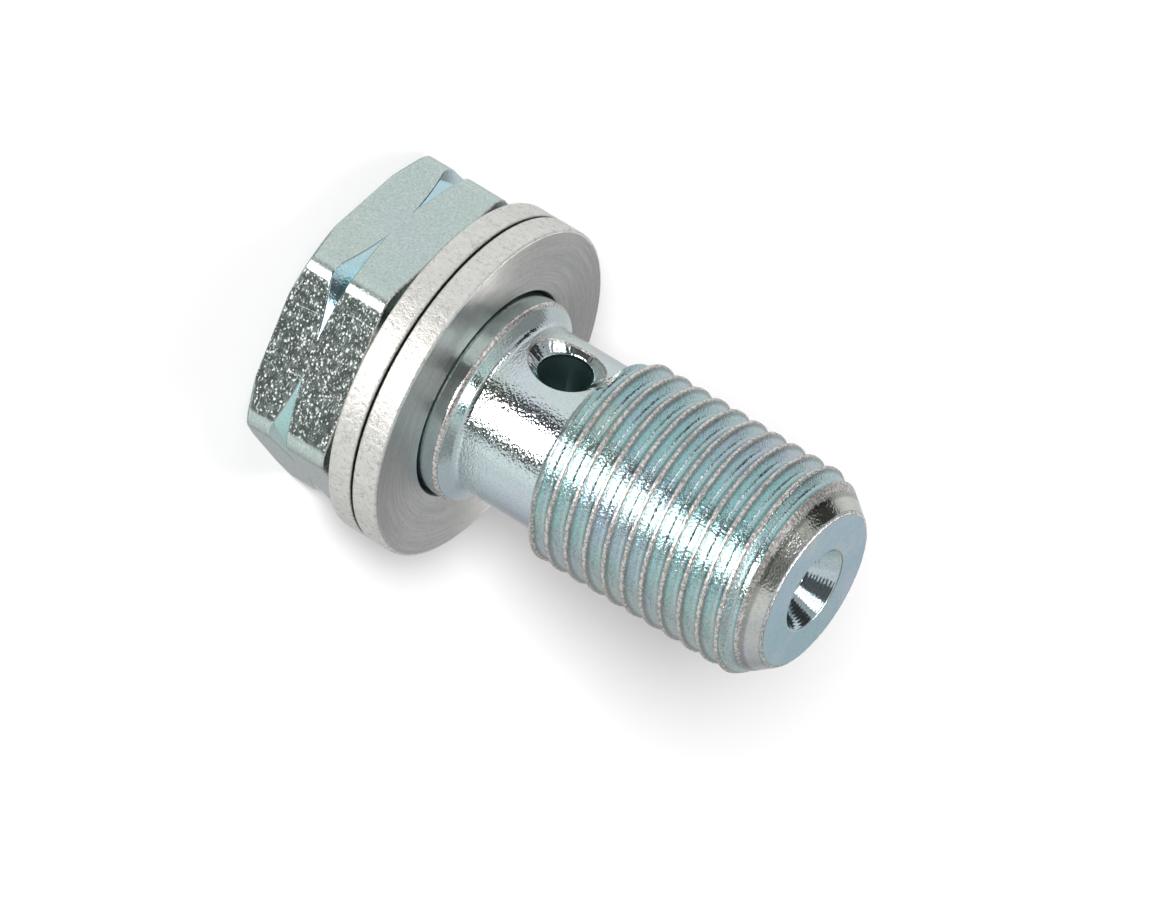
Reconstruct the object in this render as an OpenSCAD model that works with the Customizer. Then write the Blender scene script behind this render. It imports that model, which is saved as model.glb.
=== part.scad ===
// Banjo bolt with two sealing washers, standing on the flat top of its head.
// Lengths are in millimetres. Each piece is drawn about the bolt's axis, with the head's seat at
// height 0 and the shank pointing up, and is then raised by the height of the head.

/* [Head] */
// Width across the flats of the hexagon
head_af = 14; // [13:0.5:16]
// Height of the head above its seat
head_h = 4.7; // [4.2:0.1:8]
// Radius on the six upright edges of the hexagon
head_corner_r = 1.1; // [0.4:0.1:2]
// How far the circle of the top face lies outside the flats
head_top_rim = 0.2; // [0:0.05:0.5]
// Slope of the chamfer around the top face, in degrees
head_top_slope = 25; // [10:1:35]
// Height of the raised seat under the head
seat_h = 0.25; // [0.1:0.05:0.5]
// How far the raised seat lies inside the flats
seat_inset = 0.3; // [0.1:0.05:1]
// Height of the bottom of the turned groove above the seat
groove_h = 2.62; // [2:0.01:3.2]
// How far the bottom of the groove stays outside the flats
groove_rim = 0.03; // [0.01:0.01:0.3]
// Slope of the groove's wall towards the top face, in degrees
groove_top_slope = 31; // [15:1:45]
// Slope of the groove's wall towards the seat, in degrees
groove_seat_slope = 23; // [15:1:45]

/* [Shank] */
// Length from the head's seat to the tip
shank_l = 20; // [19:0.5:30]
// Diameter of the collar that centres the washers
collar_d = 9.7; // [9:0.1:9.8]
// Length of the collar
collar_l = 3.4; // [3:0.1:4]
// Length of the cone from the collar down to the neck
shoulder_l = 0.5; // [0.3:0.1:1]
// Radius of the fillet between that cone and the neck
shoulder_fillet_r = 0.4; // [0.1:0.1:0.6]
// Diameter of the neck
neck_d = 8.1; // [7.5:0.1:8.6]
// Diameter over the crests of the thread
thread_d = 9.8; // [9.6:0.1:10]
// Length of the thread, tip chamfer included
thread_l = 11.5; // [9:0.5:12]
// Length of the cone from the neck up to the thread
runout_l = 0.5; // [0.3:0.1:0.8]
// Length of the chamfer at the tip
tip_chamfer_l = 1.55; // [0.8:0.05:2]
// Diameter of the flat end face
tip_d = 7.5; // [6:0.1:8.5]

/* [Fluid passages] */
// Diameter of the bore along the axis
bore_d = 2.5; // [2:0.1:3.5]
// How far the full bore runs on beyond the cross port
bore_overrun = 0.6; // [0.2:0.1:1]
// Diameter of the bore's conical mouth where it meets the end face
bore_mouth_d = 3.9; // [3.6:0.1:5]
// Full angle of that cone, in degrees
bore_mouth_angle = 60; // [50:5:120]
// Diameter of the port across the neck
port_d = 2.4; // [1.8:0.1:2.8]
// How far the port lies from the neck's middle towards the tip
port_shift = 0.2; // [0:0.05:0.3]
// Diameter of the countersink where it meets the neck
port_sink_d = 3.7; // [3:0.1:3.9]
// Full angle of the countersink, in degrees
port_sink_angle = 100; // [80:5:120]
// Turn of the hexagon's flats from the direction of the port, in degrees
hex_turn = 6.3; // [0:0.1:30]

/* [Washers] */
// How far a washer reaches beyond the corners of the hexagon
washer_overhang = 0.04; // [0:0.01:1]
// Thickness of a washer
washer_t = 1.3; // [1:0.1:1.5]
// Gap all round between a washer's hole and the collar
washer_gap = 0.15; // [0.1:0.05:0.5]
// Radius on the outer edges of a washer
washer_edge_r = 0.2; // [0.1:0.05:0.4]
// Radius on the edges of a washer's hole
washer_hole_edge_r = 0.1; // [0.05:0.05:0.2]

/* [Hidden] */
$fn = 96;

zinc = [0.70, 0.78, 0.77];
aluminium = [0.80, 0.80, 0.78];

edge_steps = 5;
corner_steps = 6;
fillet_steps = 6;
drill_point_angle = 118;

flat_r = head_af / 2;
corner_centre_r = (flat_r - head_corner_r) / cos(30);
corner_reach = corner_centre_r + head_corner_r;
top_r = flat_r + head_top_rim;
groove_r = flat_r + groove_rim;

collar_r = collar_d / 2;
neck_r = neck_d / 2;
cut_reach = neck_r;
thread_r = thread_d / 2;
bore_r = bore_d / 2;
port_r = port_d / 2;

neck_start = collar_l + shoulder_l;
thread_start = shank_l - thread_l;
neck_end = thread_start - runout_l;
chamfer_start = shank_l - tip_chamfer_l;
port_h = (neck_start + neck_end) / 2 + port_shift;
bore_bottom = port_h - port_r - bore_overrun;

washer_r = corner_reach + washer_overhang;
washer_hole_r = collar_r + washer_gap;

// A quarter circle of radius r about [x, y], starting at angle start
function quarter(x, y, r, start) =
    [for (i = [0 : edge_steps]) let (a = start + 90 * i / edge_steps) [x + r * cos(a), y + r * sin(a)]];

// Raises a piece so that the flat top of the head is at height 0
module upright() {
    translate([0, 0, head_h]) children();
}

// A hexagonal prism with rounded upright edges, from height z0 up to z1
module rounded_hexagon(z0, z1) {
    outline = [
        for (corner = [0 : 5])
            for (step = [0 : corner_steps])
                let (middle = hex_turn + 30 + 60 * corner, a = middle - 30 + 60 * step / corner_steps) [
                    corner_centre_r * cos(middle) + head_corner_r * cos(a),
                    corner_centre_r * sin(middle) + head_corner_r * sin(a)
                ]
    ];
    translate([0, 0, z0]) linear_extrude(z1 - z0) polygon(outline);
}

// The turned outline of the head, which cuts the top chamfer into the hexagon
module head_envelope() {
    outer = corner_reach + 1;
    drop = (outer - top_r) * tan(head_top_slope);
    rotate_extrude()
        polygon([[0, -head_h], [top_r, -head_h], [outer, drop - head_h], [outer, 0], [0, 0]]);
}

// The turned groove, which only reaches the corners of the hexagon
module head_groove() {
    outer = groove_r + cut_reach;
    rotate_extrude()
        polygon([
            [groove_r, -groove_h],
            [outer, -groove_h - cut_reach * tan(groove_top_slope)],
            [outer, -groove_h + cut_reach * tan(groove_seat_slope)]
        ]);
}

module head() {
    difference() {
        intersection() {
            rounded_hexagon(-head_h, -seat_h);
            head_envelope();
        }
        head_groove();
    }
    translate([0, 0, -seat_h * 2]) cylinder(r = flat_r - seat_inset, h = seat_h * 2);
}

// The concave fillet that joins the shoulder's cone to the neck, from the cone to the neck
function shoulder_fillet() =
    let (
        turn = atan((collar_r - neck_r) / shoulder_l),
        centre_r = neck_r + shoulder_fillet_r,
        centre_h = neck_start + shoulder_fillet_r * tan(turn / 2)
    )
    [for (i = [0 : fillet_steps])
        let (a = 180 + turn * (1 - i / fillet_steps))
        [centre_r + shoulder_fillet_r * cos(a), centre_h + shoulder_fillet_r * sin(a)]];

// Collar, shoulder, neck, thread blank and tip chamfer, turned in one profile
module shank() {
    rotate_extrude()
        polygon(concat(
            [[0, -seat_h], [collar_r, -seat_h], [collar_r, collar_l]],
            shoulder_fillet(),
            [
                [neck_r, neck_end],
                [thread_r, thread_start],
                [thread_r, chamfer_start],
                [tip_d / 2, shank_l],
                [0, shank_l]
            ]
        ));
}

// Drilled blind from the tip, with a cone at its mouth
module axial_bore() {
    point_h = bore_r / tan(drill_point_angle / 2);
    slope = tan(bore_mouth_angle / 2);
    mouth_r = bore_mouth_d / 2;
    rotate_extrude()
        polygon([
            [0, bore_bottom - point_h],
            [bore_r, bore_bottom],
            [bore_r, shank_l - (mouth_r - bore_r) / slope],
            [mouth_r + cut_reach * slope, shank_l + cut_reach],
            [0, shank_l + cut_reach]
        ]);
}

// The port runs right across the neck, with a countersink at each end
module cross_port() {
    slope = tan(port_sink_angle / 2);
    sink_depth = (port_sink_d / 2 - port_r) / slope;
    translate([0, 0, port_h]) {
        rotate([0, 90, 0]) cylinder(r = port_r, h = 2 * thread_d, center = true);
        for (side = [-90, 90]) {
            rotate([0, side, 0])
                translate([0, 0, neck_r - sink_depth])
                    cylinder(r1 = port_r, r2 = port_r + cut_reach * slope, h = cut_reach);
        }
    }
}

module banjo_bolt() {
    color(zinc) upright() difference() {
        union() {
            head();
            shank();
        }
        axial_bore();
        cross_port();
    }
}

// One flat washer with rounded edges, its lower face at height z0
module washer(z0) {
    outer = washer_r - washer_edge_r;
    inner = washer_hole_r + washer_hole_edge_r;
    translate([0, 0, z0])
        rotate_extrude()
            polygon(concat(
                quarter(outer, washer_edge_r, washer_edge_r, -90),
                quarter(outer, washer_t - washer_edge_r, washer_edge_r, 0),
                quarter(inner, washer_t - washer_hole_edge_r, washer_hole_edge_r, 90),
                quarter(inner, washer_hole_edge_r, washer_hole_edge_r, 180)
            ));
}

module head_side_washer() {
    color(aluminium) upright() washer(0);
}

module tip_side_washer() {
    color(aluminium) upright() washer(washer_t);
}

banjo_bolt();
head_side_washer();
tip_side_washer();
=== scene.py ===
import math
from collections import namedtuple

import bmesh
import bpy
import numpy as np
from mathutils import Matrix, Vector


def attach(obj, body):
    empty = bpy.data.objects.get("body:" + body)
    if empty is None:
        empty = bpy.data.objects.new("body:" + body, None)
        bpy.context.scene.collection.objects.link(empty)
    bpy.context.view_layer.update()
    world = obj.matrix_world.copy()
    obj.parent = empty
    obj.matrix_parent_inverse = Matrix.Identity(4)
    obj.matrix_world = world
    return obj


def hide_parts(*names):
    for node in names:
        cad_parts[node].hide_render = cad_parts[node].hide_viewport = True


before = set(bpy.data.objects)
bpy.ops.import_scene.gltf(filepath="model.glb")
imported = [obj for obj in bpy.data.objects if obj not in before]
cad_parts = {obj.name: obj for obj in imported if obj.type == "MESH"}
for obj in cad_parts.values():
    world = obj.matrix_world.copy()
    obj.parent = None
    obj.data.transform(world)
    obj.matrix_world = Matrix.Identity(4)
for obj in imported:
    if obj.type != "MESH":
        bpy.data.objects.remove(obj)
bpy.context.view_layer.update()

# Sizes of the bolt in millimetres, measured from the head's seat, as in the part's source
MM = 0.001
HEAD_H = 4.7
FLAT_R = 7.0
CORNER_R = 1.1
CORNER_CENTRE_R = (FLAT_R - CORNER_R) / math.cos(math.radians(30))
TOP_R = 7.2
TOP_SLOPE = math.tan(math.radians(25))
SEAT_H = 0.25
SEAT_R = 6.7
GROOVE_H = 2.62
GROOVE_R = 7.03
GROOVE_TOP_SLOPE = math.tan(math.radians(31))
GROOVE_SEAT_SLOPE = math.tan(math.radians(23))
HEX_TURN = 6.3

COLLAR_R = 4.85
COLLAR_L = 3.4
NECK_R = 4.05
NECK_START = 3.9
NECK_END = 8.0
THREAD_R = 4.9
THREAD_START = 8.5
CHAMFER_START = 18.45
TIP_R = 3.75
SHANK_L = 20.0
TIP_H = HEAD_H + SHANK_L

BORE_R = 1.25
MOUTH_R = 1.95
MOUTH_SLOPE = math.tan(math.radians(30))
BORE_BOTTOM = 4.35
DRILL_SLOPE = math.tan(math.radians(59))
PORT_H = 6.15
PORT_R = 1.2
SINK_R = 1.85
SINK_SLOPE = math.tan(math.radians(50))
SINK_BOTTOM = NECK_R - (SINK_R - PORT_R) / SINK_SLOPE

WASHER_T = 1.3
WASHER_R = CORNER_CENTRE_R + CORNER_R + 0.04
WASHER_HOLE_R = COLLAR_R + 0.15
WASHER_EDGE_R = 0.2
HOLE_EDGE_R = 0.1

# Small forms that only the visual model has: a narrow bevel where the flats meet the top face, the
# least depth of the groove, and a sharper edge on the outermost face of the washers
TOP_BEVEL = 0.07
GROOVE_LEAST = 0.01
OUTER_EDGE_R = 0.12

# The thread: its pitch, the height and the turn of one point of its crest, and its depth below the
# crest against the distance along the bolt from the crest
PITCH = 1.0
CREST_AT = 14.0
CREST_TURN = 314.3
THREAD_STEPS = [0, 0.055, 0.08, 0.105, 0.30, 0.34, 0.39, 0.44, 0.5]
THREAD_DEPTHS = [0, 0.003, 0.018, 0.054, 0.391, 0.446, 0.489, 0.510, 0.518]

# Columns of the bolt's mesh: fine over the hexagon's rounded corners, wider over its flats
FLAT_COLUMNS = 36
CORNER_COLUMNS = 10
FLAT_HALF_ANGLE = math.degrees(math.atan((FLAT_R - CORNER_R) * math.tan(math.radians(30)) / FLAT_R))

# Rows of the bolt's mesh: rings on the flat faces and in the bore, the heights between which the
# rows follow the helix, the height at which the thread has run out into the chamfer, and two
# rings on the chamfer beyond it
TOP_FACE_RINGS = (0.0, 3.0, 6.0)
END_FACE_RING = 3.0
BORE_RINGS = (16.0, 12.0, 8.5)
RUN_OUT_RING = NECK_END + 0.2
RUN_OUT_ROWS = 13
HELIX_START, HELIX_END = 8.6, 18.4
CHAMFER_ROWS = 28
THREAD_END = 19.2
CHAMFER_RINGS = (19.34, 19.6)

# Points of the mesh nearer than this in millimetres become one
WELD = 0.0005

# A rounding cuts off at most this share of the shorter side. A row of points just outside it holds
# the shading, at these shares of the cut and of the part of it below SMALL_CUT
LONGEST_CUT = 0.36
GUARD, SMALL_GUARD, SMALL_CUT = 0.15, 0.2, 0.05

# An edge has its full wear where its rounding has at least this share of its full size
FULL_WEAR_SHARE = 0.5

# The thread's wear, each with the depth below the crest at which it starts and the depth over which
# it grows: on the crests, and where the thread begins at the neck and ends on the tip's chamfer
CREST_WEAR_DEPTH, CREST_WEAR_SPAN = 0.13, 0.12
START_WEAR_DEPTH, START_WEAR_SPAN, START_WEAR_L = 0.30, 0.10, 0.5
END_WEAR_DEPTH = 0.05
RUN_OUT_WEAR = 0.75
THREAD_END_WEAR = 0.66

# Numbers of the bolt's and the washers' materials
HEX, GROOVE, TURNED, THREAD, CHAMFER, END, BORE, PORT = range(8)
FACE, RIM = range(2)

BOLT_SHARP, WASHER_SHARP = math.radians(38), math.radians(60)


def link(name, data):
    """A new object in the scene that shows the data."""
    obj = bpy.data.objects.new(name, data)
    bpy.context.scene.collection.objects.link(obj)
    return obj


def column_angles():
    flat = np.linspace(-FLAT_HALF_ANGLE, FLAT_HALF_ANGLE, FLAT_COLUMNS + 1)
    corner = np.linspace(FLAT_HALF_ANGLE, 60 - FLAT_HALF_ANGLE, CORNER_COLUMNS + 1)[1:-1]
    sector = np.concatenate([flat, corner])
    return np.concatenate([sector + HEX_TURN + 60 * k for k in range(6)])


def hexagon_radius(angles):
    turn = (angles - HEX_TURN + 30) % 60 - 30
    flat = FLAT_R / np.cos(np.radians(turn))
    off = np.radians(30 - np.abs(turn))
    across = CORNER_CENTRE_R * np.sin(off)
    corner = CORNER_CENTRE_R * np.cos(off) + np.sqrt(np.maximum(CORNER_R**2 - across**2, 0))
    return np.where(np.abs(turn) <= FLAT_HALF_ANGLE, flat, corner)


def soft_min(a, b, reach=0.05):
    """The smaller of two radii, with the corner between them rounded off."""
    overlap = np.maximum(reach - np.abs(a - b), 0)
    return np.minimum(a, b) - overlap**2 / (4 * reach)


def run_out_radius(heights):
    """Radius of the cone from the neck up to the thread."""
    return NECK_R + (heights - NECK_END) * (THREAD_R - NECK_R) / (THREAD_START - NECK_END)


def chamfer_radius(heights):
    """Radius of the chamfer at the tip."""
    return THREAD_R - (heights - CHAMFER_START) * (THREAD_R - TIP_R) / (SHANK_L - CHAMFER_START)


def thread_radius(angles, heights):
    """Radius of the thread, which starts on the cone at the neck and ends on the tip's chamfer."""
    along = (heights - CREST_AT - (angles - CREST_TURN) / 360 * PITCH) / PITCH
    off = np.abs(along - np.round(along)) * PITCH
    thread = THREAD_R - np.interp(off, THREAD_STEPS, THREAD_DEPTHS)
    return soft_min(thread, soft_min(run_out_radius(heights), chamfer_radius(heights)))


def fade_in(value, start, span):
    """0 up to start, 1 from start + span on, and straight between."""
    return np.clip((value - start) / span, 0, 1)


def crest_wear(heights, radius):
    """1 on the worn crests, and less on the corners where the thread runs into its two cones."""
    crest = fade_in(radius, THREAD_R - CREST_WEAR_DEPTH, CREST_WEAR_SPAN)
    start = fade_in(radius, THREAD_R - START_WEAR_DEPTH, START_WEAR_SPAN)
    near_start = fade_in(-heights, -THREAD_START - START_WEAR_L, 0.2)
    end = fade_in(radius, chamfer_radius(heights) - END_WEAR_DEPTH, END_WEAR_DEPTH)
    on_chamfer = fade_in(heights, CHAMFER_START, 0.1)
    return np.maximum(crest, RUN_OUT_WEAR * np.maximum(start * near_start, end * on_chamfer))


def rounded_rows(corners, count):
    """Rows of points along a profile whose corners are rounded. Each corner is radius, height,
    length cut off on each side, wear, material and number of steps over the rounding."""
    points = [
        np.stack([np.broadcast_to(c[0], count), np.broadcast_to(c[1], count)], -1) for c in corners
    ]
    rows = []
    for k, corner in enumerate(corners):
        cut, wear_and_joint_shade, material, steps = corner[2:]
        here = points[k]
        if cut == 0 or k in (0, len(corners) - 1):
            rows.append((here, wear_and_joint_shade, material))
            continue
        back, ahead = here - points[k - 1], points[k + 1] - here
        back_l = np.linalg.norm(back, axis=1, keepdims=True)
        ahead_l = np.linalg.norm(ahead, axis=1, keepdims=True)
        length = np.minimum(cut, LONGEST_CUT * np.minimum(back_l, ahead_l))
        share = np.clip(length[:, 0] / (FULL_WEAR_SHARE * cut), 0, 1)
        back, ahead = back / np.maximum(back_l, 1e-9), ahead / np.maximum(ahead_l, 1e-9)
        guard = length + GUARD * length + SMALL_GUARD * np.minimum(length, SMALL_CUT)
        rows.append((here - back * guard, 0, rows[-1][2]))
        start, end = here - back * length, here + ahead * length
        for s in np.linspace(0, 1, steps + 1):
            point = start * (1 - s) ** 2 + here * 2 * s * (1 - s) + end * s**2
            rows.append((point, wear_and_joint_shade * share * (1 - abs(2 * s - 1) ** 4), material))
        rows.append((here + ahead * guard, 0, material))
    return rows


def bolt_rows_below_thread(angles):
    h = hexagon_radius(angles)
    top = np.minimum(h - TOP_BEVEL, TOP_R)
    # Where the groove would be shallower than its least depth, its rows meet on the flat
    over = np.where(h - GROOVE_R > GROOVE_LEAST, h - GROOVE_R, 0)
    corners = [
        *[(ring, -HEAD_H, 0, 0, END, 0) for ring in TOP_FACE_RINGS],
        (top, -HEAD_H, 0.10, 0.5, END, 3),
        (h, -HEAD_H + (h - top) * TOP_SLOPE, 0.10, 0.7, HEX, 3),
        (h, -GROOVE_H - over * GROOVE_TOP_SLOPE, 0.05, 0.6, GROOVE, 2),
        (h - over, -GROOVE_H, 0.04, 0, GROOVE, 2),
        (h, -GROOVE_H + over * GROOVE_SEAT_SLOPE, 0.05, 0.6, HEX, 2),
        (h, -SEAT_H, 0.12, 1, HEX, 4),
        (SEAT_R, -SEAT_H, 0.04, 0, TURNED, 2),
        (SEAT_R, 0.0, 0.05, 0, TURNED, 2),
        (COLLAR_R, 0.0, 0.05, 0, TURNED, 2),
        (COLLAR_R, COLLAR_L, 0.18, 1, TURNED, 5),
        (NECK_R, NECK_START, 0.222, 0, TURNED, 6),
        (NECK_R, NECK_END, 0.10, 0, TURNED, 3),
        (run_out_radius(RUN_OUT_RING), RUN_OUT_RING, 0, 0, THREAD, 0),
    ]
    return rounded_rows(corners, len(angles))


def thread_row(angles, height):
    height = np.broadcast_to(height, len(angles))
    radius = thread_radius(angles, height)
    return np.stack([radius, height], -1), crest_wear(height, radius), THREAD


def bolt_rows_above_thread(angles):
    throat = SHANK_L - (MOUTH_R - BORE_R) / MOUTH_SLOPE
    middle, upper = CHAMFER_RINGS
    corners = [
        (chamfer_radius(middle), middle, 0, 0.5, CHAMFER, 0),
        (chamfer_radius(upper), upper, 0, 0, CHAMFER, 0),
        (TIP_R, SHANK_L, 0.13, 1, END, 4),
        (END_FACE_RING, SHANK_L, 0, 0, END, 0),
        (MOUTH_R, SHANK_L, 0.06, 0.4, BORE, 3),
        (BORE_R, throat, 0.10, 0, BORE, 3),
        *[(BORE_R, ring, 0, 0, BORE, 0) for ring in BORE_RINGS],
        (BORE_R, BORE_BOTTOM, 0, 0, BORE, 0),
        (0.0, BORE_BOTTOM - BORE_R / DRILL_SLOPE, 0, 0, BORE, 0),
    ]
    return rounded_rows(corners, len(angles))


def grid_from_rows(rows, angles, closed):
    """Vertices, quads and their wear (on the washers, painted joint shade) and material, for rows of
    radius and height over the columns.
    """
    points = np.array([row[0] for row in rows])
    wear_and_joint_shade = np.array([np.broadcast_to(row[1], len(angles)) for row in rows])
    turn = np.radians(angles)
    xyz = np.stack([points[..., 0] * np.cos(turn), points[..., 0] * np.sin(turn), points[..., 1]], -1)
    count = len(angles)
    quads, materials = [], []
    for r in range(len(rows) - 1):
        for c in range(count if closed else count - 1):
            d = (c + 1) % count
            quads.append((r * count + c, r * count + d, (r + 1) * count + d, (r + 1) * count + c))
            materials.append(rows[r][2])
    return xyz.reshape(-1, 3), quads, wear_and_joint_shade.reshape(-1), materials


def mesh_from_grids(name, grids):
    """One closed mesh in metres, in the row's frame, from grids in millimetres that share edges."""
    work = bmesh.new()
    layer = work.verts.layers.float.new("wear_and_joint_shade")
    for xyz, quads, wear_and_joint_shade, materials in grids:
        verts = [work.verts.new(p) for p in xyz]
        for v, w in zip(verts, wear_and_joint_shade):
            v[layer] = float(w)
        for quad, material in zip(quads, materials):
            face = work.faces.new([verts[k] for k in quad])
            face.material_index = material
            face.smooth = True
    bmesh.ops.remove_doubles(work, verts=work.verts, dist=WELD)
    bmesh.ops.recalc_face_normals(work, faces=work.faces)
    bmesh.ops.translate(work, verts=work.verts, vec=(0, 0, HEAD_H))
    bmesh.ops.scale(work, verts=work.verts, vec=(MM, MM, MM))
    mesh = bpy.data.meshes.new(name)
    work.to_mesh(mesh)
    work.free()
    return link(name, mesh)


def threaded_bolt():
    """The bolt without its cross port."""
    angles = column_angles()
    low = bolt_rows_below_thread(angles)
    heights = np.linspace(RUN_OUT_RING + 0.03, HELIX_START, RUN_OUT_ROWS)
    low += [thread_row(angles, height) for height in heights]

    # Over the long middle of the thread the rows follow the helix, so its edges are sharp. All the
    # turns that reach into this stretch are taken, and their rows are held between its ends
    wide = np.append(angles, angles[0] + 360)
    offsets = THREAD_STEPS[:-1] + [PITCH - s for s in THREAD_STEPS[:0:-1]]
    helix = []
    for k in range(int(HELIX_START - CREST_AT) - 2, int(HELIX_END - CREST_AT) + 3):
        for off in offsets:
            height = CREST_AT + k + off + (wide - CREST_TURN) / 360 * PITCH
            helix.append(thread_row(wide, np.clip(height, HELIX_START, HELIX_END)))

    heights = np.linspace(HELIX_END, THREAD_END, CHAMFER_ROWS)
    high = [thread_row(angles, height) for height in heights]
    high[-1] = (high[-1][0], THREAD_END_WEAR, CHAMFER)
    high += bolt_rows_above_thread(angles)
    grids = [
        grid_from_rows(low, angles, True),
        grid_from_rows(helix, wide, False),
        grid_from_rows(high, angles, True),
    ]
    return mesh_from_grids("bolt", grids)


def port_cutter():
    """The drill and the two countersinks, turned about the X axis, with their edge rounded."""
    columns, reach, soft = 96, 9.0, 0.05
    soft_r, soft_x = 0.012, 0.005
    half = [
        (PORT_R, 0.0),
        (PORT_R, SINK_BOTTOM - soft),
        (PORT_R + soft_r, SINK_BOTTOM + soft_x),
        (PORT_R + soft * SINK_SLOPE, SINK_BOTTOM + soft),
        (PORT_R + (reach - SINK_BOTTOM) * SINK_SLOPE, reach),
    ]
    centre = PORT_H + HEAD_H
    turns = [2 * math.pi * c / columns for c in range(columns)]
    work = bmesh.new()
    rings = []
    for r, x in [(r, -x) for r, x in half[:0:-1]] + half:
        ring = [(x * MM, r * math.cos(a) * MM, (r * math.sin(a) + centre) * MM) for a in turns]
        rings.append([work.verts.new(point) for point in ring])
    for low, high in zip(rings, rings[1:]):
        for c in range(columns):
            d = (c + 1) % columns
            work.faces.new((low[c], low[d], high[d], high[c])).smooth = True
    work.faces.new(rings[0])
    work.faces.new(rings[-1])
    bmesh.ops.recalc_face_normals(work, faces=work.faces)
    mesh = bpy.data.meshes.new("port_cutter")
    work.to_mesh(mesh)
    work.free()
    return link("port_cutter", mesh)


def cut_port(bolt):
    cutter = port_cutter()
    modifier = bolt.modifiers.new("port", "BOOLEAN")
    modifier.operation = "DIFFERENCE"
    modifier.solver = "MANIFOLD"
    modifier.object = cutter
    bpy.context.view_layer.update()
    depsgraph = bpy.context.evaluated_depsgraph_get()
    mesh = bpy.data.meshes.new_from_object(bolt.evaluated_get(depsgraph))
    bolt.modifiers.clear()
    bolt.data = mesh
    bpy.data.objects.remove(cutter)


def is_port(face):
    """Whether a face of the bolt lies on the drill's or a countersink's surface: near enough to it,
    between the bore and just outside the neck, and not facing straight away from the axis."""
    near, past_neck, past_bore, straight = 0.03, 0.1, 0.02, 0.98
    x, y, z = face.center / MM
    z -= HEAD_H
    radius = math.hypot(x, y)
    port_radius = PORT_R + max(abs(x) - SINK_BOTTOM, 0) * SINK_SLOPE
    if abs(math.hypot(y, z - PORT_H) - port_radius) >= near:
        return False
    if not NECK_START < z < THREAD_START or not BORE_R + past_bore < radius < NECK_R + past_neck:
        return False
    return abs(face.normal.x * x + face.normal.y * y) / radius < straight


def finish_bolt_mesh(bolt):
    """Gives the port's faces their own material, and the neck the shading of a true cylinder
    between the ends of its fillets."""
    near, low, high = 0.003, NECK_START + 0.15, NECK_END - 0.05
    mesh = bolt.data
    for face in mesh.polygons:
        if is_port(face):
            face.material_index = PORT
    mesh.set_sharp_from_angle(angle=BOLT_SHARP)
    normals = np.zeros((len(mesh.loops), 3))
    for face in mesh.polygons:
        if face.material_index != TURNED:
            continue
        for k in face.loop_indices:
            x, y, z = mesh.vertices[mesh.loops[k].vertex_index].co / MM
            z -= HEAD_H
            if abs(math.hypot(x, y) - NECK_R) < near and low < z < high:
                normals[k] = (x / NECK_R, y / NECK_R, 0)
    mesh.normals_split_custom_set([tuple(n) for n in normals])


def washer(name, seat, lower_edge, upper_edge):
    """A flat ring, its lower face at height seat, with roundings on its outer edges and in its
    hole. The roundings of its rim that meet the head or the other washer carry painted shade, and only
    the outer edge that lies free has none."""
    columns, steps = 288, 6
    angles = np.arange(columns) * 360 / columns
    inner = WASHER_HOLE_R + HOLE_EDGE_R
    rows = []
    for radius, height, edge, start, material in (
        (WASHER_R - lower_edge, lower_edge, lower_edge, -90, RIM),
        (WASHER_R - upper_edge, WASHER_T - upper_edge, upper_edge, 0, RIM),
        (inner, WASHER_T - HOLE_EDGE_R, HOLE_EDGE_R, 90, FACE),
        (inner, HOLE_EDGE_R, HOLE_EDGE_R, 180, FACE),
    ):
        for s in range(steps + 1):
            a = math.radians(start + 90 * s / steps)
            point = (radius + edge * math.cos(a), height + edge * math.sin(a) + seat)
            # Painted shade on the rim's roundings that meet the head or the other washer, strongest
            # towards the joint
            joint_shade = abs(math.sin(a)) if material == RIM and edge == WASHER_EDGE_R else 0
            upper_face_next = start == 0 and s == steps
            rows.append((np.tile(point, (columns, 1)), joint_shade, FACE if upper_face_next else material))
    rows.append(rows[0])
    ring = mesh_from_grids(name, [grid_from_rows(rows, angles, True)])
    ring.data.set_sharp_from_angle(angle=WASHER_SHARP)
    return ring


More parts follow.
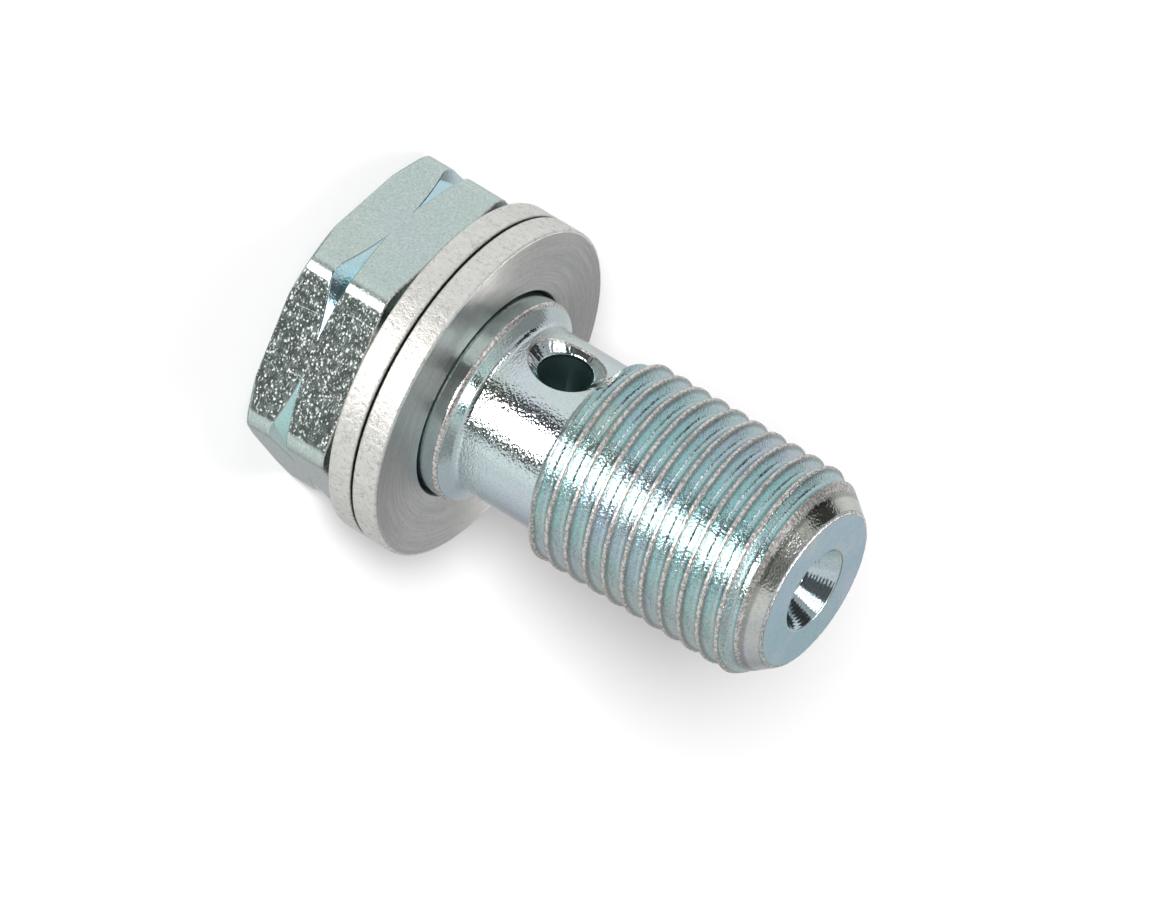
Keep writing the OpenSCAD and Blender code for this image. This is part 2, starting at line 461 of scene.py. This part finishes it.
class Tree:
    """Adds nodes to a node tree; an input is a number, a colour or another node's output."""

    def __init__(self, tree):
        self.tree = tree
        tree.nodes.clear()

    def add(self, kind, inputs=None, out=0, **settings):
        node = self.tree.nodes.new(kind)
        for key, value in settings.items():
            setattr(node, key, value)
        for key, value in (inputs or {}).items():
            if isinstance(value, bpy.types.NodeSocket):
                self.tree.links.new(value, node.inputs[key])
            else:
                node.inputs[key].default_value = value
        return node.outputs[out] if node.outputs else None

    def math(self, operation, a, b=0.0):
        return self.add("ShaderNodeMath", {0: a, 1: b}, operation=operation)

    def plus(self, *values):
        total = values[0]
        for value in values[1:]:
            total = self.math("ADD", total, value)
        return total

    def minus(self, a, b):
        return self.math("SUBTRACT", a, b)

    def times(self, a, b):
        return self.math("MULTIPLY", a, b)

    def largest(self, *values):
        most = values[0]
        for value in values[1:]:
            most = self.math("MAXIMUM", most, value)
        return most

    def in_degrees(self, angle):
        return self.times(angle, 180 / math.pi)

    def vector(self, operation, a, b=(0, 0, 0), out="Vector"):
        return self.add("ShaderNodeVectorMath", {0: a, 1: b}, out=out, operation=operation)

    def combine(self, x, y, z):
        return self.add("ShaderNodeCombineXYZ", {0: x, 1: y, 2: z})

    def part(self, vector, axis):
        return self.add("ShaderNodeSeparateXYZ", {0: vector}, out=axis)

    # Reads the mesh's attribute for wear, which on the washers holds painted shade in their joints
    def wear_and_joint_shade(self):
        return self.add("ShaderNodeAttribute", out="Fac", attribute_name="wear_and_joint_shade")

    def ramp(self, value, low, high, to_low=0.0, to_high=1.0, curve="SMOOTHSTEP"):
        inputs = {"Value": value, "From Min": low, "From Max": high, "To Min": to_low, "To Max": to_high}
        return self.add("ShaderNodeMapRange", inputs, interpolation_type=curve)

    def mix(self, factor, a, b):
        """A colour between a and b, which are inputs 6 and 7 of the node."""
        return self.add("ShaderNodeMix", {0: factor, 6: a, 7: b}, out=2, data_type="RGBA")

    def blend(self, factor, a, b):
        """A number between a and b."""
        return self.add("ShaderNodeMix", {0: factor, 2: a, 3: b}, out=0, data_type="FLOAT")

    def noise(self, vector, scale, detail=2.0, roughness=0.5):
        inputs = {"Vector": vector, "Scale": scale, "Detail": detail, "Roughness": roughness}
        return self.add("ShaderNodeTexNoise", inputs)

    def stretched_noise(self, vector, scales, detail, roughness=0.5):
        return self.noise(self.vector("MULTIPLY", vector, scales), 1.0, detail, roughness)

    def cells(self, vector, scale):
        return self.add("ShaderNodeTexVoronoi", {"Vector": vector, "Scale": scale}, feature="F1")

    def colours(self, value, stops):
        node = self.tree.nodes.new("ShaderNodeValToRGB")
        self.tree.links.new(value, node.inputs[0])
        ramp = node.color_ramp
        ramp.elements[0].position, ramp.elements[0].color = stops[0][0], (*stops[0][1], 1)
        ramp.elements[-1].position, ramp.elements[-1].color = stops[-1][0], (*stops[-1][1], 1)
        for position, colour in stops[1:-1]:
            ramp.elements.new(position).color = (*colour, 1)
        return node.outputs[0]

    def metal(self, colour, metallic, roughness, height, **more):
        """The material's output: a metal surface with its relief in millimetres."""
        bump = self.add("ShaderNodeBump", {"Strength": 1.0, "Distance": MM, "Height": height})
        inputs = {"Base Color": colour, "Metallic": metallic, "Roughness": roughness, "Normal": bump}
        inputs.update({key.replace("_", " ").title(): value for key, value in more.items()})
        surface = self.add("ShaderNodeBsdfPrincipled", inputs)
        self.add("ShaderNodeOutputMaterial", {"Surface": surface})


# A point of a surface: its place, its parts, its distance from the axis and its direction from it
Spot = namedtuple("Spot", "place x y z radius around")


def start_material(name):
    """A material, its tree, and the point in millimetres in the row's frame."""
    material = bpy.data.materials.new(name)
    material.use_nodes = True
    t = Tree(material.node_tree)
    place = t.vector("MULTIPLY", t.add("ShaderNodeTexCoord", out="Object"), (1 / MM, 1 / MM, 1 / MM))
    x, y, z = t.part(place, "X").node.outputs
    level = t.combine(x, y, 0.0)
    radius = t.vector("LENGTH", level, out="Value")
    return material, t, Spot(place, x, y, z, radius, t.vector("NORMALIZE", level))


# The zinc plate's film, from one surface to another and from one side of the bolt to the other
TEAL = (0.72, 0.84, 0.82, 1)
BLUISH = (0.69, 0.85, 0.91, 1)
DEEP_TEAL = (0.69, 0.86, 0.82, 1)
DEEP_BLUE = (0.62, 0.83, 0.84, 1)
PALE = (0.80, 0.84, 0.83, 1)
SKY = (0.78, 0.96, 1.0, 1)
SEA = (0.76, 0.96, 0.87, 1)
SAGE = (0.68, 0.84, 0.78, 1)
# A darker copy of COLD for one side of the end face: painted shade
COLD_PAINTED_SHADE = (0.46, 0.69, 0.76, 1)
COLD = (0.54, 0.75, 0.86, 1)

# Patches, flecks, frosted spots and worn edges of the zinc plate, and the dark teal of the painted shade
# in its passages and in the thread's root
LAVENDER = (0.74, 0.77, 0.90, 1)
STRAW = (0.83, 0.86, 0.76, 1)
DARK_FLECK = (0.34, 0.40, 0.41, 1)
LIGHT_FLECK = (0.97, 0.99, 0.98, 1)
FROST_WHITE = (0.93, 1.0, 0.99, 1)
PAINTED_SHADE_TEAL = (0.30, 0.45, 0.44, 1)
EDGE_DARK = (0.16, 0.17, 0.16, 1)
BARE_DULL = (0.56, 0.53, 0.49, 1)
BARE_BRIGHT = (1.0, 0.98, 0.94, 1)

# The aluminium of the washers' faces and rims
FACE_DULL = (0.54, 0.56, 0.54, 1)
FACE_BRIGHT = (0.69, 0.70, 0.68, 1)
FACE_SPOT = (0.36, 0.36, 0.35, 1)
RIM_DULL = (0.825, 0.84, 0.79, 1)
RIM_BRIGHT = (0.96, 0.98, 0.92, 1)
RIM_SPECK = (0.50, 0.49, 0.46, 1)
# Painted shade, nearly black, in the joints where a washer's rim meets the head or the other washer
JOINT_PAINTED_SHADE = (0.04, 0.035, 0.03, 1)

# Advance of the drill in one turn
DRILL_FEED = 0.13

# The rubbed strip at each corner of the hexagon, in degrees: without its turn it would reach from
# FROST_START to 30, where the corner is, counted from the middle of a flat
FROST_START = 23.5
FROST_TURN = 2.1


def turned_lines(t, at, along, fineness, drift, detail):
    """Noise in rings around the axis, fine along the given length and slow round the axis."""
    across = t.combine(0.0, 0.0, t.times(along, fineness))
    lines = t.vector("ADD", t.vector("MULTIPLY", at.around, (drift, drift, 0.0)), across)
    return t.noise(lines, 1.0, detail, 0.7)


def turning_marks(depth):
    """Fine turned lines around the axis."""
    def relief(t, at):
        return t.times(turned_lines(t, at, t.plus(at.radius, at.z), 14.0, 1.4, 3.0), depth)
    return relief


def pit_share(t, at):
    """0 in the middle of a plating pit and 1 at its edge."""
    size = t.ramp(t.noise(at.place, 2.4, 1.0), 0.3, 0.7, 0.16, 0.44)
    return t.math("DIVIDE", t.cells(at.place, 5.0), size)


def plating_dimples(t, at):
    """Small pits of several sizes, and a few long shallow scratches."""
    pits = t.ramp(pit_share(t, at), 0.1, 1.0, -0.004, 0.0)
    field = t.stretched_noise(at.place, (0.5, 0.5, 0.22), 1.0)
    scratch = t.ramp(t.math("ABSOLUTE", t.minus(field, 0.5)), 0.0, 0.005, -0.0008, 0.0)
    return t.plus(pits, scratch)


def corner_frost(t, at):
    """A rubbed strip along one side of each upright corner of the hexagon."""
    angle = t.minus(t.in_degrees(t.math("ARCTAN2", at.y, at.x)), HEX_TURN + FROST_TURN)
    turn = t.add("ShaderNodeMath", {0: angle, 1: 30.0, 2: -30.0}, operation="WRAP")
    patchy = t.ramp(t.noise(at.place, 5.0, 3.0), 0.35, 0.6, 0.5, 1.0)
    return t.times(t.ramp(turn, FROST_START, FROST_START + 1), patchy)


def feed_marks(t, at):
    """Even rings left by the drill's feed."""
    drift = t.times(t.noise(at.place, 0.8, 1.0), 6.0)
    rings = t.math("SINE", t.plus(t.times(at.z, 2 * math.pi / DRILL_FEED), drift))
    return t.times(rings, 0.0012)


def port_marks(t, at):
    """Short ridges across the countersinks, and the drill's rings further in."""
    angle = t.math("ARCTAN2", t.minus(at.z, PORT_H + HEAD_H), at.y)
    drift = t.times(t.noise(at.place, 2.2), 9.0)
    ridges = t.math("SINE", t.plus(t.times(angle, 38.0), drift))
    rings = t.math("SINE", t.times(at.x, 2 * math.pi / DRILL_FEED))
    return t.blend(port_depth_and_shade(t, at), t.times(ridges, 0.0026), t.times(rings, 0.0012))


def neck_grain(t, at):
    """The height of the fine grain, which is deeper on the neck than on the collar."""
    return t.ramp(at.radius, NECK_R + 0.03, NECK_R + 0.20, 0.021, 0.007)


def thread_root_painted_shade(t, at):
    """A little painted shade in the root of the thread."""
    return t.ramp(at.radius, THREAD_R - 0.50, THREAD_R - 0.42, 0.28, 0.0)


def bore_painted_shade(t, at):
    """Painted shade that darkens the bore below its mouth."""
    return t.ramp(at.z, TIP_H - 3.2, TIP_H - 1.5, 0.8, 0.0)


def port_depth_and_shade(t, at):
    """0.9 deep in the port, below its countersinks, and 0 near them: where the drill's rings take over
    from the ridges, and how far the port is darkened with painted shade.
    """
    return t.ramp(t.math("ABSOLUTE", at.x), NECK_R - 0.85, NECK_R - 0.55, 0.9, 0.0)


def port_rim(t, at):
    """The worn edge where a countersink meets the neck."""
    return t.ramp(at.radius, NECK_R - 0.12, NECK_R - 0.04)


def zinc(name, under, above, roughness, grain, relief, patches=0.4, mottle=0.3,
         pitted=False, painted_shade=None, rim=None):
    """Bright zinc plate under a thin film that turns from one colour to another round the bolt,
    with patches, flecks, a fine grain and worn edges where the bare metal shows. Grain is the
    height of the fine grain or a function for it. The function given for painted shade returns
    the share of painted shade in a passage or in the thread's root; rim is one for a worn edge
    that the mesh doesn't mark."""
    material, t, at = start_material(name)
    film = t.mix(t.ramp(t.part(at.around, "X"), -0.8, 0.7), under, above)
    film = t.mix(t.ramp(t.noise(at.place, 0.28), 0.48, 0.68, 0, patches), film, LAVENDER)
    other = t.noise(t.vector("ADD", at.place, (31.0, 7.0, 13.0)), 0.35)
    film = t.mix(t.ramp(other, 0.50, 0.72, 0, patches * 0.8), film, STRAW)
    flecks = t.noise(at.place, 9.0, 4.0, 0.65)
    film = t.mix(t.ramp(flecks, 0.34, 0.50, mottle, 0), film, DARK_FLECK)
    film = t.mix(t.ramp(flecks, 0.54, 0.66, 0, mottle), film, LIGHT_FLECK)
    # Painted shade: the film darkens towards a dark teal in passages and in the thread's root
    if painted_shade:
        shade = painted_shade(t, at)
        film = t.mix(shade, film, PAINTED_SHADE_TEAL)

    edge = rim(t, at) if rim else t.wear_and_joint_shade()
    speckle = t.noise(at.place, 7.0, 4.0, 0.7)
    ragged = t.plus(edge, t.times(t.minus(speckle, 0.5), 0.7))
    worn = t.times(t.ramp(ragged, 0.58, 0.74), t.ramp(edge, 0.1, 0.3))
    bare = t.mix(t.ramp(t.noise(at.place, 8.0, 2.0), 0.40, 0.60), BARE_DULL, BARE_BRIGHT)
    film = t.mix(t.ramp(edge, 0.25, 0.5, 0, 0.5), film, EDGE_DARK)

    frost = t.ramp(t.noise(at.place, 14.0, 2.0), 0.60, 0.72, 0, mottle)
    white = frost
    if pitted:
        pits = t.ramp(pit_share(t, at), 0.5, 0.95, 1.0, 0.0)
        strokes = t.ramp(t.stretched_noise(at.place, (4.0, 9.0, 12.0), 2.0), 0.58, 0.66)
        white = t.largest(strokes, t.times(pits, 0.6))
        frost = t.largest(pits, frost, strokes, corner_frost(t, at))
    film = t.mix(t.times(white, 0.85), film, FROST_WHITE)
    colour = t.mix(worn, film, bare)

    satin = t.ramp(t.noise(at.place, 3.0, 3.0), 0.3, 0.7, roughness * 0.75, roughness * 1.3)
    rough = t.blend(worn, t.blend(frost, satin, 0.36), 0.36)
    if painted_shade:
        rough = t.blend(shade, rough, 0.5)
    amount = grain(t, at) if callable(grain) else grain
    height = t.plus(
        t.times(t.stretched_noise(at.place, (8.0, 8.0, 11.0), 1.0), amount),
        relief(t, at),
        t.times(t.times(worn, speckle), 0.010),
    )
    t.metal(colour, 1.0, rough, height)
    return material


def washer_face():
    """Soft aluminium turned to faint rings, which draw the light out along the radius."""
    material, t, at = start_material("aluminium_face")
    lines = turned_lines(t, at, at.radius, 9.0, 2.0, 4.0)
    spots = t.noise(at.place, 5.0, 4.0, 0.7)
    grains = t.noise(at.place, 16.0, 2.0)
    colour = t.mix(t.ramp(lines, 0.3, 0.7), FACE_DULL, FACE_BRIGHT)
    colour = t.mix(t.ramp(spots, 0.35, 0.5, 0.35, 0), colour, FACE_SPOT)
    rough = t.ramp(spots, 0.3, 0.7, 0.30, 0.42)
    height = t.plus(t.times(lines, 0.006), t.times(grains, 0.003))
    tangent = t.add("ShaderNodeTangent", direction_type="RADIAL", axis="Z")
    t.metal(colour, 1.0, rough, height, anisotropic=0.8, anisotropic_rotation=0.25, tangent=tangent)
    return material


def washer_rim():
    """The rim of a washer, whiter than its faces, with a short cut grain, fine specks, and painted
    shade, nearly black, on the roundings that meet the head or the other washer."""
    material, t, at = start_material("aluminium_rim")
    cuts = t.stretched_noise(at.place, (3.5, 3.5, 2.0), 4.0, 0.7)
    specks = t.noise(at.place, 4.5, 4.0, 0.7)
    colour = t.mix(t.ramp(cuts, 0.3, 0.7), RIM_DULL, RIM_BRIGHT)
    colour = t.mix(t.ramp(specks, 0.33, 0.46, 0.7, 0), colour, RIM_SPECK)
    # Painted shade in the joints, with a ragged edge from the specks
    ragged = t.plus(t.wear_and_joint_shade(), t.times(t.minus(specks, 0.5), 0.3))
    colour = t.mix(t.ramp(ragged, 0.5, 0.8), colour, JOINT_PAINTED_SHADE)
    rough = t.ramp(cuts, 0.3, 0.7, 0.26, 0.40)
    height = t.plus(t.times(cuts, 0.040), t.times(specks, 0.045))
    t.metal(colour, 0.6, rough, height)
    return material


def zinc_materials():
    """The bolt's materials, in the order of their numbers."""
    fine, finer, coarse = turning_marks(0.0010), turning_marks(0.0008), turning_marks(0.0015)
    return (
        zinc("zinc_hexagon", SAGE, SAGE, 0.17, 0.0025, plating_dimples,
             patches=0.2, mottle=0.35, pitted=True),
        zinc("zinc_groove", SEA, SKY, 0.10, 0.0040, fine, patches=0.2, mottle=0.15),
        zinc("zinc_turned", BLUISH, TEAL, 0.07, neck_grain, fine, mottle=0.15),
        zinc("zinc_thread", DEEP_TEAL, DEEP_BLUE, 0.11, 0.0300, coarse, patches=0.5, painted_shade=thread_root_painted_shade),
        zinc("zinc_chamfer", PALE, STRAW, 0.12, 0.0130, fine, patches=0.9, mottle=0.3),
        zinc("zinc_end", COLD_PAINTED_SHADE, COLD, 0.17, 0.0030, finer, patches=0.6, mottle=0.15),
        zinc("zinc_bore", BLUISH, TEAL, 0.10, 0.0040, feed_marks, painted_shade=bore_painted_shade),
        zinc("zinc_port", BLUISH, TEAL, 0.10, 0.0060, port_marks, painted_shade=port_depth_and_shade, rim=port_rim),
    )


bolt = threaded_bolt()
for material in zinc_materials():
    bolt.data.materials.append(material)
cut_port(bolt)
finish_bolt_mesh(bolt)

inner_washer = washer("washer_inner", 0.0, WASHER_EDGE_R, WASHER_EDGE_R)
outer_washer = washer("washer_outer", WASHER_T, WASHER_EDGE_R, OUTER_EDGE_R)
face_metal, rim_metal = washer_face(), washer_rim()
for ring in (inner_washer, outer_washer):
    ring.data.materials.append(face_metal)
    ring.data.materials.append(rim_metal)

for piece, node, slot in (
    (bolt, "banjo_bolt", "zinc_steel"),
    (inner_washer, "head_side_washer", "aluminium"),
    (outer_washer, "tip_side_washer", "aluminium"),
):
    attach(piece, "root")
    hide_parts(node)

CAMERA_AT = Vector((0.3630191, 0.3543803, 0.2175036))
CAMERA_FORWARD = Vector((-0.663354, -0.647303, -0.375448))
CAMERA_UP = Vector((0.736813, -0.477406, -0.478739))
CAMERA_LENS = 401.65


def add_camera():
    data = bpy.data.cameras.new("camera")
    data.sensor_width = 36
    data.lens = CAMERA_LENS
    data.clip_start = 0.01
    data.clip_end = 20
    camera = link("camera", data)
    across = CAMERA_FORWARD.cross(CAMERA_UP).normalized()
    upward = across.cross(CAMERA_FORWARD).normalized()
    turn = Matrix((across, upward, -CAMERA_FORWARD)).transposed().to_4x4()
    camera.matrix_world = Matrix.Translation(CAMERA_AT) @ turn
    bpy.context.scene.camera = camera


add_camera()

# Brightness of the light tent against the angle around the axis, near the level and higher up
TENT_LEVEL = [
    (-180, 0.70), (-146, 0.75), (-134, 0.69), (-122, 0.62), (-110, 0.58), (-98, 0.64),
    (-88, 0.50), (-74, 0.47), (-62, 0.36), (-50, 0.38), (-38, 0.50), (-26, 0.55),
    (-14, 0.64), (-2, 0.70), (10, 0.65), (22, 0.85), (36, 0.80), (104, 0.50),
    (114, 0.87), (122, 0.73), (130, 0.79), (150, 0.72), (166, 0.67), (180, 0.70),
]
TENT_ABOVE = [
    (-180, 0.50), (-160, 0.50), (-147, 0.45), (-133, 0.55), (-123, 0.59), (-90, 0.57), (-78, 0.42),
    (-57, 0.45), (-35, 0.48), (-24, 0.53), (11, 0.54), (17, 0.64), (33, 0.62), (51, 0.60),
    (60, 0.30), (104, 0.20), (112, 0.25), (147, 0.32), (157, 0.41), (166, 0.48), (180, 0.50),
]
TENT_BLUE = 1.02
TENT_FLOOR = (0.36, 0.36, 0.37, 1)
TENT_TOP = (0.85, 0.85, 0.87, 1)

# Panels in front of the tent, in degrees: from and to around the axis, from and to in rise, and
# softness; then the brightness
PANELS = [
    (38, 53, -75, 9, 2.0, 0.11),
    (53, 106, -75, 9, 2.0, 0.08),
    (55.5, 85, -72, 7, 1.5, 6.5),
    (42, 106, 9, 36, 3.0, 0.06),
    (57, 106, 34, 52, 2.0, 0.10),
    (107, 142, 23, 43, 1.5, 2.0),
    (110, 147, 45, 52, 1.5, 0.20),
    (-43, -26, 44, 71, 4.0, 0.28),
    (-150, -114, 28, 76, 4.0, 0.26),
    (-95, -60, 28, 76, 4.0, 0.22),
    (-112, -97, 50, 70, 2.0, 16.0),
    (163, 184, 14, 40, 2.0, 0.035),
    (-184, -152, 14, 40, 2.0, 0.035),
]

# Panels brighter than this are lamps, whose light is a little warm
LAMP_LEVEL = 4.0
LAMP_COOLNESS = 0.92

# The level directions that these tables count as 0 and as 90 degrees around the axis
AROUND_0 = (-0.6984, 0.7157, 0.0)
AROUND_90 = (0.7157, 0.6984, 0.0)


def between(t, value, low, high, soft):
    """1 between low and high, and 0 outside, with soft edges."""
    return t.times(
        t.ramp(value, low - soft, low + soft), t.ramp(value, high - soft, high + soft, 1, 0)
    )


def studio_world():
    """A light tent with one long softbox between dark frames, turned with the bolt's axis upright.
    Around is the direction's angle about the axis and rise its angle above the level. The camera
    sees white."""
    world = bpy.data.worlds.new("studio")
    world.use_nodes = True
    bpy.context.scene.world = world
    t = Tree(world.node_tree)
    way = t.add("ShaderNodeTexCoord", out="Generated")
    along_0 = t.vector("DOT_PRODUCT", way, AROUND_0, out="Value")
    along_90 = t.vector("DOT_PRODUCT", way, AROUND_90, out="Value")
    around = t.in_degrees(t.math("ARCTAN2", along_90, along_0))
    rise = t.in_degrees(t.math("ARCSINE", t.part(way, "Z")))

    turn = t.ramp(around, -180, 180, curve="LINEAR")
    level, above = [
        t.colours(turn, [((b + 180) / 360, (v, v, v * TENT_BLUE)) for b, v in pairs])
        for pairs in (TENT_LEVEL, TENT_ABOVE)
    ]
    colour = t.mix(t.ramp(rise, 4.0, 20.0), level, above)
    colour = t.mix(t.ramp(rise, -64.0, -42.0, 1, 0), colour, TENT_FLOOR)
    colour = t.mix(t.ramp(rise, 66.0, 80.0), colour, TENT_TOP)
    for left, right, low, high, soft, value in PANELS:
        here = t.times(between(t, around, left, right, soft), between(t, rise, low, high, soft))
        cool = value * (LAMP_COOLNESS if value > LAMP_LEVEL else 1.0)
        colour = t.mix(here, colour, (value, cool, cool, 1))
    colour = t.mix(t.add("ShaderNodeLightPath", out="Is Camera Ray"), colour, (1, 1, 1, 1))
    background = t.add("ShaderNodeBackground", {"Color": colour, "Strength": 1.0})
    t.add("ShaderNodeOutputWorld", {"Surface": background})


studio_world()

FLOOR_REACH = 3.0
FLOOR_GREY = (0.52, 0.52, 0.52, 1)


def white_floor():
    """A level floor under the head, which the metal doesn't mirror."""
    mesh = bpy.data.meshes.new("floor")
    far = FLOOR_REACH
    square = [(-far, -far, 0), (far, -far, 0), (far, far, 0), (-far, far, 0)]
    mesh.from_pydata(square, [], [(0, 1, 2, 3)])
    floor = link("floor", mesh)
    floor.visible_glossy = False
    material = bpy.data.materials.new("floor_white")
    material.use_nodes = True
    t = Tree(material.node_tree)
    surface = t.add("ShaderNodeBsdfDiffuse", {"Color": FLOOR_GREY})
    t.add("ShaderNodeOutputMaterial", {"Surface": surface})
    mesh.materials.append(material)
    return floor


floor = white_floor()

# Direction, apparent width and strength of the lamp over the floor
LAMP_TURN, LAMP_RISE = math.radians(41.9), math.radians(21.8)
LAMP_WIDTH = math.radians(9.5)
LAMP_STRENGTH = 12.0


def light_floor(floor):
    """A lamp for the floor alone, which gives it the bolt's soft shadow."""
    data = bpy.data.lights.new("floor_lamp", "SUN")
    data.angle = LAMP_WIDTH
    data.energy = LAMP_STRENGTH
    lamp = link("floor_lamp", data)
    level = math.cos(LAMP_RISE)
    toward = Vector((math.cos(LAMP_TURN) * level, math.sin(LAMP_TURN) * level, math.sin(LAMP_RISE)))
    lamp.location = toward
    lamp.rotation_euler = toward.to_track_quat("Z", "Y").to_euler()
    receivers = bpy.data.collections.new("lit_by_floor_lamp")
    receivers.objects.link(floor)
    lamp.light_linking.receiver_collection = receivers


light_floor(floor)

bpy.context.scene.view_settings.view_transform = "Standard"
